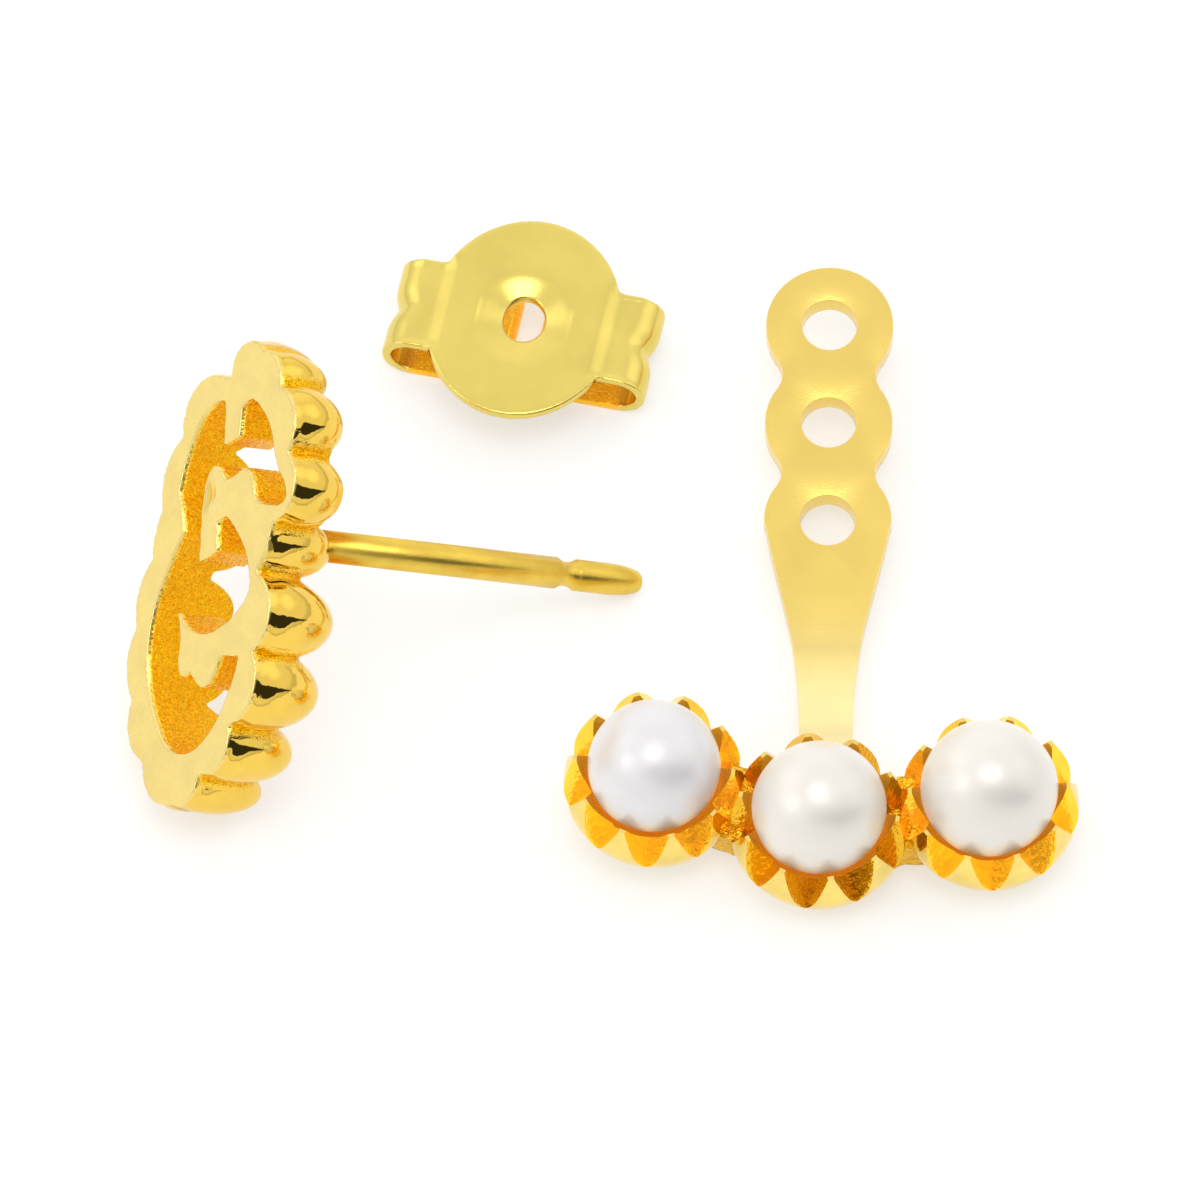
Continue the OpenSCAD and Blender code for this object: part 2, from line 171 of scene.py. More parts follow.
# Profiles of a cup (radius, up)
CUP_OUTSIDE = [
    (1.35, 0), (1.75, 0.12), (2.02, 0.40), (2.20, 0.80), (2.28, 1.20), (2.22, 1.65), (2.05, 2.20),
]
CUP_INSIDE = [
    (1.95, 2.20), (1.86, 1.90), (1.73, 1.60), (1.56, 1.25), (1.32, 0.90), (1.00, 0.60), (0.70, 0.40),
]
CUP_FLOOR = 0.4
# The bottom line of a notch, from inside to outside (radius, up)
NOTCH_LINE = ((1.60, 1.31), (2.20, 0.75))
TOOTH_TIP, TOOTH_WEAR = 0.14, 0.03
# The web between two cups: its size, its middle above the cups' foot, and the roughness of its
# skin (how fine, how high)
WEB_SIZE, WEB_MIDDLE = (0.8, 2.0, 0.95), 0.725
WEB_ROUGH = (3.1, 0.09)
WEB_SEED = 1
PEARL_D = {"left": 3.38, "centre": 3.42, "right": 3.5}
PEARL_GAP = 0.05
# Slow swellings of a pearl (how fine, how high), and how much smaller it is made to leave them room
PEARL_SWELLS = [(0.55, 0.012), (1.6, 0.004)]
PEARL_SPARE = 0.012
# Where the painted reflection of gold ends on a pearl, above the cup's foot
SEAT_FADE = (NOTCH_LINE[0][1] - 0.1, NOTCH_LINE[0][1] + 0.3)

# Friction back
DISC_W, DISC_L = 4.92, 5.9
SHEET_T = 0.25
CLUTCH_HOLE = (0.52, 0.62)
HOLE_BACK = 0.08
FUNNEL_R, FUNNEL_SLOPE, FUNNEL_SOFT = 1.25, 0.38, 0.10
# Where the sheet sinks from the disc to a wing, out along it and across it
WING_DROP, DROP_OUT, DROP_ACROSS = 0.16, (1.85, 2.4), (-0.1, 0.2)
WING_W = 2.62
# The pinch in the middle of a wing: its depth, its half width, and where it grows
PINCH, PINCH_HALF, PINCH_OUT = 0.17, 0.32, (1.9, 3.2)
WING_SPAN = 6.84
ROLL_H = 1.55
GRIP_R, GRIP_END = 0.42, -230
GRIP_X = {-1: 0.72, 1: 0.94}
CLUTCH_VOXEL = 0.045
# Where the inside's rougher finish and its painted orange bounce glow begin below the sheet, and where
# they end towards the rolls
INSIDE_FADE, ROLL_FADE = (0.15, 0.4), (2.55, 2.95)

# Studio: the table's half width, how far it lies below the part, and its own light
FLOOR_HALF, FLOOR_BELOW, FLOOR_GLOW = 0.6, 0.00002, 0.54
KEY_AT, KEY_SIZE, KEY_WATTS = (-0.21, -0.08, 0.18), 0.12, 0.06
# Studio: the light tent's colour low down, and its levels higher up (sine of the height, level)
TENT_LOW = (0.72, 0.70, 0.66, 1)
TENT_LEVELS = [(0.07, 0.78), (0.13, 1.0)]
TENT_STRENGTH = 0.97
# Studio: brighter patches of the tent, each over the ones before it
# (direction, reach and soft edge in degrees, strength)
PATCHES = [
    ((0, 0.91, 0.41), 23, 40, 1.15),
    ((-0.70, 0.40, 0.60), 14, 20, 1.5),
    ((0.74, 0.27, 0.62), 14, 24, 1.3),
    ((0.03, -0.17, 1.0), 14, 12, 3.4),
]
# Studio: the dark gap round the camera, and how dark it is beside the wedge
GAP_AT, GAP_REACH, GAP_BLUR, GAP_SHARE = (0.10, -0.70, 0.70), 20, 9, 0.75
# Studio: the dark wedge from one direction to another, its half widths and soft edges as sines,
# the soft edge of its blunt end in radians, and what is left of the light in it
WEDGE_FROM, WEDGE_TO = Vector((0.60, -0.62, 0.50)), Vector((0.96, -0.13, 0.03))
WEDGE_WIDTHS, WEDGE_SOFT, WEDGE_END = (0.30, 0.02), (-0.01, 0.02), (-0.30, -0.24)
DARK_LEVEL = 0.04


# Placing

def placing(at, turn):
    """Matrix that carries a piece from its own millimetres to the table in metres."""
    x, y, z = (math.radians(angle) for angle in turn)
    turned = Matrix.Rotation(z, 4, "Z") @ Matrix.Rotation(y, 4, "Y") @ Matrix.Rotation(x, 4, "X")
    return Matrix.Translation((SET_CENTRE + at) * MM) @ turned @ Matrix.Scale(MM, 4)


tilt = math.radians(JACKET_TILT)
jacket_lift = CUP_OUTSIDE[0][0] * math.sin(tilt) - NECK_STEP * math.cos(tilt)
STUD_PLACE = placing(STUD_AT, STUD_TURN) @ Matrix.Translation((-POST_AT.x, -POST_AT.y, 0))
JACKET_PLACE = placing(JACKET_AT + Vector((0, 0, jacket_lift)), (JACKET_TILT, 0, 0))
CLUTCH_PLACE = placing(CLUTCH_AT, (0, 0, CLUTCH_TURN))


def cup_centre(side):
    if side == "centre":
        return Vector((0, 0, NECK_STEP))
    angle = math.radians(CUP_ANGLES[side])
    return Vector((CUP_PITCH * math.cos(angle), CUP_PITCH * math.sin(angle), NECK_STEP))


# Curves

def smooth_run(points, steps):
    """Points along a smooth curve through the given ones, without the last."""
    made = []
    for i in range(len(points) - 1):
        near = [points[min(max(k, 0), len(points) - 1)] for k in range(i - 1, i + 3)]
        a, b, c, d = (np.array(p, float) for p in near)
        for t in np.arange(steps) / steps:
            bend = (2 * a - 5 * b + 4 * c - d) * t ** 2 + (3 * b - a - 3 * c + d) * t ** 3
            made.append(b + ((c - a) * t + bend) / 2)
    return made


def arc_over(start, end, bulge, steps):
    """Points along the arc over a chord, without the last; the arc stands to the left of the chord."""
    half = (end - start).length / 2
    radius = (half ** 2 + bulge ** 2) / (2 * bulge)
    sweep = math.asin(half / radius)
    along = (end - start).normalized()
    out = Vector((-along.y, along.x))
    centre = (start + end) / 2 + out * (bulge - radius)
    return [
        centre + radius * (out * math.cos(turn) + along * math.sin(turn))
        for turn in (sweep * (2 * s / steps - 1) for s in range(steps))
    ]


def scallop(i):
    """Start, end, and bulge of a scallop's arc."""
    rows = [SCALLOPS[k % len(SCALLOPS)] for k in (i, i + 1)]
    return Vector(rows[0][:2]), Vector(rows[1][:2]), rows[0][2]


def opening_outline(steps):
    return [
        p for run in OPENING_RUNS
        for p in ([np.array(run[0])] if len(run) == 2 else smooth_run(run, steps))
    ]


# Mesh helpers

def loop_edges(bm, points, z):
    verts = [bm.verts.new((p[0], p[1], z)) for p in points]
    return [bm.edges.new((a, b)) for a, b in zip(verts, verts[1:] + verts[:1])]


def pull(bm, way):
    """Extrudes the faces of an open sheet into a closed body."""
    pulled = bmesh.ops.extrude_face_region(bm, geom=bm.faces[:], use_keep_orig=True)
    verts = [v for v in pulled["geom"] if isinstance(v, bmesh.types.BMVert)]
    bmesh.ops.translate(bm, verts=verts, vec=way)
    bmesh.ops.recalc_face_normals(bm, faces=bm.faces)


def sheet(outline, holes, level):
    """A flat sheet with holes in it."""
    bm = bmesh.new()
    edges = loop_edges(bm, outline, level)
    for hole in holes:
        edges += loop_edges(bm, hole, level)
    bmesh.ops.triangle_fill(bm, use_beauty=True, use_dissolve=False, edges=edges)
    return bm


def slab(outline, holes, low, high):
    """A closed slab between two levels, with holes through it."""
    bm = sheet(outline, holes, high)
    pull(bm, (0, 0, low - high))
    return bm


def turned_body(profile, steps):
    """A closed body of revolution about Z, from rows of radius and height."""
    bm = bmesh.new()
    verts = [bm.verts.new((r, 0, z)) for r, z in profile]
    edges = [bm.edges.new(pair) for pair in zip(verts, verts[1:])]
    bmesh.ops.spin(bm, geom=verts + edges, axis=(0, 0, 1), cent=(0, 0, 0), dvec=(0, 0, 0),
                   angle=2 * math.pi, steps=steps, use_merge=True, use_duplicate=False)
    bmesh.ops.remove_doubles(bm, verts=bm.verts, dist=1e-5)
    bmesh.ops.recalc_face_normals(bm, faces=bm.faces)
    return bm


def add_body(target, source, matrix=Matrix.Identity(4)):
    """Puts a copy of one bmesh into another, and frees it."""
    mesh = bpy.data.meshes.new("part")
    bmesh.ops.transform(source, matrix=matrix, verts=source.verts)
    source.to_mesh(mesh)
    source.free()
    target.from_mesh(mesh)
    bpy.data.meshes.remove(mesh)


def as_object(name, bm):
    mesh = bpy.data.meshes.new(name)
    bm.to_mesh(mesh)
    bm.free()
    made = bpy.data.objects.new(name, mesh)
    bpy.context.scene.collection.objects.link(made)
    return made


def apply_modifiers(piece):
    """Turns a piece's modifiers into its mesh."""
    shaped = piece.evaluated_get(bpy.context.evaluated_depsgraph_get())
    mesh = bpy.data.meshes.new_from_object(shaped)
    piece.modifiers.clear()
    old, piece.data = piece.data, mesh
    bpy.data.meshes.remove(old)
    mesh.name = piece.name


def fuse(piece, voxel, smoothing):
    """Melts a piece's overlapping bodies into one skin, as casting and soldering do."""
    remesh = piece.modifiers.new("melt", "REMESH")
    remesh.mode, remesh.voxel_size = "VOXEL", voxel
    relax = piece.modifiers.new("relax", "SMOOTH")
    relax.factor, relax.iterations = 0.5, smoothing
    apply_modifiers(piece)


def cut(piece, cutter):
    """Takes the cutter's body out of the piece, and removes the cutter."""
    tool = piece.modifiers.new("cut", "BOOLEAN")
    tool.operation, tool.solver, tool.object = "DIFFERENCE", "EXACT", cutter
    apply_modifiers(piece)
    bpy.data.objects.remove(cutter)


def coords(piece):
    flat = np.empty(len(piece.data.vertices) * 3)
    piece.data.vertices.foreach_get("co", flat)
    return flat.reshape(-1, 3)


def set_coords(piece, points):
    piece.data.vertices.foreach_set("co", np.asarray(points, float).ravel())
    piece.data.update()


def mark(piece, name, values):
    layer = piece.data.attributes.new(name, "FLOAT", "POINT")
    layer.data.foreach_set("value", np.asarray(values, np.float32))


def smoothstep(low, high, x):
    t = np.clip((x - low) / (high - low), 0, 1)
    return t * t * (3 - 2 * t)


def distance_to_loop(points, loop):
    """Distance of each point, seen in plan, from a closed outline."""
    best = np.full(len(points), 1e9)
    ring = np.array([tuple(p) for p in loop])
    for a, b in zip(ring, np.roll(ring, -1, axis=0)):
        side = b - a
        t = np.clip(((points - a) @ side) / (side @ side), 0, 1)
        best = np.minimum(best, np.linalg.norm(points - (a + t[:, None] * side), axis=1))
    return best


def lay(piece, place, nodes, materials):
    """Puts a finished piece on the table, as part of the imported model."""
    piece.data.transform(place)
    piece.data.materials.clear()
    for material in materials:
        piece.data.materials.append(material)
    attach(piece, "root")
    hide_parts(*nodes)
    return piece


# Materials

def new_material(name):
    material = bpy.data.materials.new(name)
    material.use_nodes = True
    tree = material.node_tree
    return material, tree, tree.nodes["Principled BSDF"]


def node(tree, kind, **values):
    made = tree.nodes.new(kind)
    for key, value in values.items():
        if key in made.inputs:
            made.inputs[key].default_value = value
        else:
            setattr(made, key, value)
    return made


def feed(tree, value, socket):
    """Sets a plain value on a socket, or links what is worked out by other nodes."""
    if isinstance(value, bpy.types.NodeSocket):
        tree.links.new(value, socket)
    else:
        socket.default_value = value


def blend(tree, share, start, finish, data_type="FLOAT"):
    """Mixes a number or a colour towards another one where the share is 1."""
    first, second, result = (6, 7, 2) if data_type == "RGBA" else (2, 3, 0)
    mix = node(tree, "ShaderNodeMix", data_type=data_type)
    tree.links.new(share, mix.inputs[0])
    feed(tree, start, mix.inputs[first])
    feed(tree, finish, mix.inputs[second])
    return mix.outputs[result]


def combine(tree, operation, first, second):
    """Works out a number from two others."""
    made = node(tree, "ShaderNodeMath", operation=operation)
    feed(tree, first, made.inputs[0])
    feed(tree, second, made.inputs[1])
    return made.outputs[0]


def map_range(tree, value, source, target, interpolation="LINEAR"):
    """Carries a value from one range to another, and holds it there."""
    made = node(tree, "ShaderNodeMapRange", interpolation_type=interpolation)
    for name, level in zip(("From Min", "From Max", "To Min", "To Max"), (*source, *target)):
        made.inputs[name].default_value = level
    tree.links.new(value, made.inputs["Value"])
    return made.outputs["Result"]


def shaded(tree, colour, level):
    """A colour times a level."""
    made = node(tree, "ShaderNodeMix", data_type="RGBA", blend_type="MULTIPLY")
    made.inputs[0].default_value = 1.0
    feed(tree, colour, made.inputs[6])
    tree.links.new(level, made.inputs[7])
    return made.outputs[2]


def grain_group():
    """Height of a fine cast or brushed grain, and a slow mottling, over a surface."""
    group = bpy.data.node_groups.new("metal_grain", "ShaderNodeTree")
    for name, start in (("Grain Size", 0.00008), ("Mottle Size", 0.0006)):
        socket = group.interface.new_socket(name, in_out="INPUT", socket_type="NodeSocketFloat")
        socket.default_value = start
    group.interface.new_socket("Grain", in_out="OUTPUT", socket_type="NodeSocketFloat")
    group.interface.new_socket("Mottle", in_out="OUTPUT", socket_type="NodeSocketFloat")
    inside = node(group, "NodeGroupInput")
    outside = node(group, "NodeGroupOutput")
    place = node(group, "ShaderNodeTexCoord")
    for name, detail in (("Grain", 2.0), ("Mottle", 3.0)):
        scale = combine(group, "DIVIDE", 1.0, inside.outputs[name + " Size"])
        cloud = node(group, "ShaderNodeTexNoise", Detail=detail, Roughness=0.55)
        group.links.new(place.outputs["Object"], cloud.inputs["Vector"])
        group.links.new(scale, cloud.inputs["Scale"])
        group.links.new(cloud.outputs["Fac"], outside.inputs[name])
    return group


def gold(name, colour, rough, grain_size=0.00006, grain=0.02, mottle_size=0.0007, mottle=0.05,
         darkest=0.88, glow=0.0, marks=()):
    """Yellow gold. Each mark is (name, colour, fleck, roughness, grain, glow), used where it is 1. A
    glow is painted light, an emission in place of light bounced into hollows.
    """
    material, tree, shader = new_material(name)
    texture = node(tree, "ShaderNodeGroup", node_tree=GRAIN)
    texture.inputs["Grain Size"].default_value = grain_size
    texture.inputs["Mottle Size"].default_value = mottle_size
    fine, slow = texture.outputs["Grain"], texture.outputs["Mottle"]
    tint = (*colour, 1)
    roughness = map_range(tree, slow, (0, 1), (max(rough - mottle, 0.02), rough + mottle))
    for mark_name, mark_colour, fleck, mark_rough, mark_grain, mark_glow in marks:
        where = node(tree, "ShaderNodeAttribute", attribute_name=mark_name).outputs["Fac"]
        flecks = map_range(tree, fine, FLECK_RANGE, (0, 1))
        flecked = blend(tree, flecks, (*mark_colour, 1), (*fleck, 1), "RGBA")
        tint = blend(tree, where, tint, flecked, "RGBA")
        roughness = blend(tree, where, roughness, mark_rough)
        grain = blend(tree, where, grain, mark_grain)
        glow = blend(tree, where, glow, mark_glow)
    tone = shaded(tree, tint, map_range(tree, slow, MOTTLE_RANGE, (1.0, darkest)))
    bump = node(tree, "ShaderNodeBump", Strength=1.0, Distance=0.0005)
    tree.links.new(combine(tree, "MULTIPLY", fine, grain), bump.inputs["Height"])
    tree.links.new(bump.outputs["Normal"], shader.inputs["Normal"])
    tree.links.new(roughness, shader.inputs["Roughness"])
    shader.inputs["Metallic"].default_value = 1.0
    for socket in ("Base Color", "Emission Color"):
        tree.links.new(tone, shader.inputs[socket])
    feed(tree, glow, shader.inputs["Emission Strength"])
    return material


GRAIN = grain_group()
# Which part of the noise turns a mark's colour into its fleck, and which part darkens a tint
FLECK_RANGE, MOTTLE_RANGE = (0.36, 0.66), (0.35, 0.65)
FACE_MARK = ("face", (0.88, 0.68, 0.22), (0.90, 0.70, 0.25), 0.25, 0.008, 0.0)
# Rough cast metal in the head's hollows; its deeper orange and its glow are painted bounce light
CAST_AND_GLOW_MARK = ("cast", (0.88, 0.43, 0.0), (0.95, 0.56, 0.01), 0.24, 0.25, 0.15)
# The neck's foot: a paler gold, a painted highlight where the bend catches the light
FOOT_HIGHLIGHT_MARK = ("foot", (1.0, 0.85, 0.42), (1.0, 0.85, 0.42), 0.22, 0.006, 0.0)
# The clutch's inside under the sheet: rougher, and its orange and glow are painted bounce light
ROLL_GLOW_MARK = ("cast", (1.0, 0.48, 0.01), (1.0, 0.62, 0.05), 0.30, 0.08, 0.15)
HEAD_GOLD = gold("head_gold", (0.89, 0.60, 0.10), 0.035, grain_size=0.0001, grain=0.003, mottle=0.02,
                 darkest=0.94, marks=(FACE_MARK, CAST_AND_GLOW_MARK))
POST_GOLD = gold("post_gold", (0.84, 0.58, 0.09), 0.30, grain=0.01)
PLATE_GOLD = gold("plate_gold", (0.90, 0.66, 0.17), 0.22, grain=0.006, mottle_size=0.0015, darkest=0.94,
                  marks=(FOOT_HIGHLIGHT_MARK,))
CUP_GOLD = gold("cup_gold", (1.0, 0.75, 0.20), 0.08, grain=0.006)
# Notch facets: rougher, more orange gold with a painted glow of bounced light; the centre cup's copy is
# the same gold painted darker as shade
NOTCH_GOLD = gold("notch_gold", (1.0, 0.62, 0.05), 0.14, grain_size=0.00014, grain=0.05, glow=0.20)
SHADED_NOTCH_GOLD = gold("shaded_notch_gold", (0.88, 0.50, 0.03), 0.14, grain_size=0.00014, grain=0.06,
                       glow=0.05)
# The cup's hollow: its deeper orange and its glow are painted bounce light that fills the gap round the
# pearl
HOLLOW_GOLD = gold("hollow_gold", (0.94, 0.58, 0.05), 0.18, grain_size=0.00014, grain=0.06, glow=0.10)
# Rough cast web between the cups; its glow is painted bounce light
WEB_GOLD = gold("web_gold", (0.88, 0.50, 0.03), 0.18, grain_size=0.00012, grain=0.25, glow=0.06)
CLUTCH_GOLD = gold("clutch_gold", (0.82, 0.65, 0.16), 0.20, grain=0.004, mottle_size=0.0016,
                   darkest=0.92, marks=(ROLL_GLOW_MARK,))
# The painted reflection of the cup's gold on a pearl low down, and how strongly it glows
PAINTED_REFLECTION, PAINTED_REFLECTION_GLOW = (0.95, 0.45, 0.06), 0.35


def nacre(name, colour, shade):
    """Nacre, with a painted reflection of its cup's gold low down."""
    material, tree, shader = new_material(name)
    looks = {
        "Metallic": 0.3, "Roughness": 0.38, "Coat Weight": 0.35, "Coat Roughness": 0.2,
        "Sheen Weight": 0.3, "Subsurface Weight": 0.15, "Subsurface Radius": (0.0006, 0.0005, 0.0004),
    }
    for socket, value in looks.items():
        shader.inputs[socket].default_value = value
    place = node(tree, "ShaderNodeTexCoord")
    cloud = node(tree, "ShaderNodeTexNoise", Scale=700.0, Detail=3.0)
    tree.links.new(place.outputs["Object"], cloud.inputs["Vector"])
    tint = blend(tree, cloud.outputs["Fac"], (*colour, 1), (*shade, 1), "RGBA")
    # The seat mark says where the painted reflection of the cup's gold is laid on the pearl
    low = node(tree, "ShaderNodeAttribute", attribute_name="seat").outputs["Fac"]
    tone = blend(tree, low, tint, (*PAINTED_REFLECTION, 1), "RGBA")
    for socket in ("Base Color", "Emission Color"):
        tree.links.new(tone, shader.inputs[socket])
    tree.links.new(blend(tree, low, 0.0, PAINTED_REFLECTION_GLOW), shader.inputs["Emission Strength"])
    bump = node(tree, "ShaderNodeBump", Strength=0.25, Distance=0.00002)
    tree.links.new(cloud.outputs["Fac"], bump.inputs["Height"])
    tree.links.new(bump.outputs["Normal"], shader.inputs["Normal"])
    return material


COOL_NACRE = nacre("cool_nacre", (0.82, 0.81, 0.81), (0.76, 0.73, 0.76))
WARM_NACRE = nacre("warm_nacre", (0.86, 0.83, 0.76), (0.80, 0.75, 0.69))


# Stud

def thumb_profile(radius, depth):
    """A thumb that swells from a narrower foot and closes in an ellipse."""
    rows = [(0.0, 0.0)]
    for z in np.linspace(0, RIB_SWELL, 6)[:-1]:
        rows.append((radius * (1 - (1 - RIB_FOOT) * (1 - z / RIB_SWELL) ** 1.6), -z))
    for turn in np.linspace(0, math.pi / 2, 14):
        rows.append((radius * math.cos(turn), -RIB_SWELL - (depth - RIB_SWELL) * math.sin(turn)))
    rows[-1] = (0.0, rows[-1][1])
    return rows


def ribs_and_backing(rim):
    """The bodies behind the face, each with its place."""
    drawn_in = Matrix.Translation(OUTLINE_MIDDLE) @ Matrix.Diagonal((WEB_SHARE, WEB_SHARE, 1, 1))
    drawn_in @= Matrix.Translation(-OUTLINE_MIDDLE)
    bodies = [(slab(rim, [], -WEB_DEPTH, -FACE_T / 2), drawn_in)]
    for x, y, radius, depth in RIBS:
        place = Matrix.Translation((x, y, -RIB_INSET)) @ Matrix.Rotation(math.radians(-RIB_LEAN), 4, "X")
        bodies.append((turned_body(thumb_profile(radius, depth), 40), place))
    return bodies


def mark_head(head, opening):
    """Says where the head is a flat face, and where it is rough cast metal with a painted orange bounce
    glow.
    """
    points = coords(head)
    plan, below = points[:, :2], -points[:, 2]
    wall = 1 - smoothstep(*WALL_FADE, distance_to_loop(plan, opening))
    cusps = np.array([row[:2] for row in SCALLOPS])
    near_cusp = np.min(np.linalg.norm(plan[:, None, :] - cusps[None], axis=2), axis=1)
    valley = 1 - smoothstep(*CUSP_FADE, near_cusp)
    mark(head, "cast", np.maximum(wall, valley) * smoothstep(*CAST_FADE, below))
    mark(head, "face", 1 - smoothstep(*FACE_FADE, below))


def make_head():
    opening = opening_outline(6)
    rim = [p for i in range(len(SCALLOPS)) for p in arc_over(*scallop(i), 10)]
    body = slab(rim, [opening], -FACE_T, 0)
    for source, place in ribs_and_backing(rim):
        moved = bmesh.new()
        add_body(moved, source, place)
        solid = as_object("behind_face", moved)
        cut(solid, as_object("opening", slab(opening, [], -HEAD_DEPTH - 1, 1)))
        body.from_mesh(solid.data)
        bpy.data.objects.remove(solid)
    head = as_object("stud_head", body)
    fuse(head, HEAD_VOXEL, 4)
    points = coords(head)
    off = (points[:, :2] - DENT_AT) / DENT_SIZE
    dent = DENT_DEPTH * np.exp(-(off ** 2).sum(axis=1))
    points[:, 2] -= np.where(points[:, 2] > -DENT_BODY, dent, 0)
    set_coords(head, points)
    mark_head(head, opening)
    head.data.shade_smooth()
    return lay(head, STUD_PLACE, ["stud"], [HEAD_GOLD])


def make_post():
    groove_foot, groove_top = (POST_L - back for back in GROOVE_BACK)
    groove = arc_over(Vector((POST_R, groove_foot)), Vector((POST_R, groove_top)), GROOVE_DEPTH, 10)
    rows = [(0, POST_ROOT), (POST_R, POST_ROOT)] + [tuple(p) for p in groove] + [(POST_R, groove_top)]
    rows += [(radius, POST_L - back) for back, radius in POST_TIP] + [(0, POST_L)]
    bm = turned_body([(r, -z) for r, z in rows], 64)
    bmesh.ops.translate(bm, verts=bm.verts, vec=(POST_AT.x, POST_AT.y, 0))
    post = as_object("stud_post", bm)
    post.data.shade_smooth()
    return lay(post, STUD_PLACE, ["stud"], [POST_GOLD])


# Ear jacket

def hole_up(i):
    return HOLE_REACH + i * HOLE_PITCH


def plate_half_outline():
    """Right side of the plate, from the neck's end up to the top of the far lobe."""
    side = [(NECK_HALF, NECK_END), (NECK_HALF, NECK_EVEN)]
    rising = [(half, up) for up, half in reversed(NECK)]
    side += [tuple(p) for p in smooth_run(rising, 4)]
    join = math.asin(WAIST_REACH_UP / LOBE_R)
    for i in range(HOLES):
        first = -join if i else 0.0
        last = join if i < HOLES - 1 else math.pi / 2
        for angle in np.linspace(first, last, 14):
            side.append((LOBE_R * math.cos(angle), hole_up(i) + LOBE_R * math.sin(angle)))
        if i < HOLES - 1:
            for s in np.linspace(-1, 1, 9)[1:-1]:
                share = WAIST_SHARE + (WAIST_END_SHARE - WAIST_SHARE) * s ** 2
                side.append((LOBE_R * share, hole_up(i) + HOLE_PITCH * (0.5 + WAIST_REACH * s)))
    return side


def neck_lift(v):
    t = np.clip((BEND_LOW - v) / (BEND_LOW - BEND_HIGH), 0, 1)
    return NECK_STEP * (1 - np.cos(math.pi * t)) / 2


def ring(centre, radius, steps):
    return [
        (centre[0] + radius * math.cos(a), centre[1] + radius * math.sin(a))
        for a in np.linspace(0, 2 * math.pi, steps, endpoint=False)
    ]


def make_plate():
    right = plate_half_outline()
    outline = right + [(-x, y) for x, y in reversed(right) if x > 1e-6]
    bm = sheet(outline, [ring((0, hole_up(i)), HOLE_R, 48) for i in range(HOLES)], 0)
    for v in np.arange(NECK_END + BEND_CUT, BEND_CUTS_END, BEND_CUT):
        bmesh.ops.bisect_plane(bm, geom=bm.verts[:] + bm.edges[:] + bm.faces[:],
                               plane_co=(0, v, 0), plane_no=(0, 1, 0), dist=1e-5)
    pull(bm, (0, 0, PLATE_T))
    rims = [e for e in bm.edges if e.calc_face_angle(0) > math.radians(60)]
    bmesh.ops.bevel(bm, geom=rims, offset=PLATE_ROUND, offset_type="OFFSET", segments=4, profile=0.5,
                    affect="EDGES", material=-1, clamp_overlap=True)
    for v in bm.verts:
        v.co.z += float(neck_lift(v.co.y))
    lean = Matrix.Translation((NECK_OFFSET, 0, 0)) @ Matrix.Rotation(-math.radians(NECK_LEAN), 4, "Z")
    bmesh.ops.transform(bm, matrix=lean, verts=bm.verts)
    plate = as_object("jacket_plate", bm)
    # The foot mark carries the painted highlight on the neck's foot
    mark(plate, "foot", 1 - smoothstep(*FOOT_HIGHLIGHT_FADE, coords(plate)[:, 1]))
    plate.data.shade_smooth()
    even = plate.modifiers.new("even_shading", "WEIGHTED_NORMAL")
    even.weight = 100
    return lay(plate, JACKET_PLACE, ["ear_jacket"], [PLATE_GOLD])


def make_notches(phase):
    """The cutter for all notches of a cup: V-shaped prisms that slope out through the wall."""
    inner, outer = (Vector(p) for p in NOTCH_LINE)
    slope = (outer - inner).normalized()
    side = Vector((-slope.y, slope.x))
    rim_r = CUP_OUTSIDE[-1][0]
    above = (Vector((rim_r, CUP_H)) - inner).dot(side)
    beside = rim_r * math.tan(math.pi / CUP_TEETH) - TOOTH_TIP / 2
    reach = 2.0
    whole = bmesh.new()
    for k in range(CUP_TEETH):
        bm = bmesh.new()
        corners = [(0, 0, 0), (0, reach * beside, reach * above), (0, -reach * beside, reach * above)]
        bm.faces.new([bm.verts.new(c) for c in corners])
        pull(bm, (1.2 * reach, 0, 0))
        lean = math.atan2(-slope.y, slope.x)
        where = (
            Matrix.Rotation(math.radians(phase + (k + 0.5) * 360 / CUP_TEETH), 4, "Z")
            @ Matrix.Translation((inner.x, 0, inner.y))
            @ Matrix.Rotation(lean, 4, "Y")
            @ Matrix.Translation((-reach / 2, 0, 0))
        )
        add_body(whole, bm, where)
    for face in whole.faces:
        face.material_index = 1
    return as_object("notches", whole)


def cup_body(side):
    """A cup before its notches are cut, with its hollow's faces apart from the others."""
    outside = [tuple(p) for p in smooth_run(CUP_OUTSIDE, 4)] + [CUP_OUTSIDE[-1]]
    hollow = [tuple(p) for p in smooth_run(CUP_INSIDE, 4)] + [CUP_INSIDE[-1]]
    body = turned_body([(0, 0)] + outside + hollow + [(0, CUP_FLOOR)], 120)
    for face in body.faces:
        middle = face.calc_center_median()
        faces_in = face.normal.x * middle.x + face.normal.y * middle.y < 0
        face.material_index = 2 if faces_in and middle.z > CUP_FLOOR else 0
    return as_object("cup_" + side, body)


def wear_teeth(cup):
    """Rounds a cup's sharp edges a little."""
    bm = bmesh.new()
    bm.from_mesh(cup.data)
    bmesh.ops.remove_doubles(bm, verts=bm.verts, dist=1e-4)
    for edge in bm.edges:
        edge.smooth = edge.calc_face_angle(0) < math.radians(30)
    bm.to_mesh(cup.data)
    bm.free()
    edges = cup.modifiers.new("worn_edges", "BEVEL")
    edges.width, edges.segments, edges.limit_method = TOOTH_WEAR, 2, "ANGLE"
    edges.angle_limit = math.radians(35)
    apply_modifiers(cup)


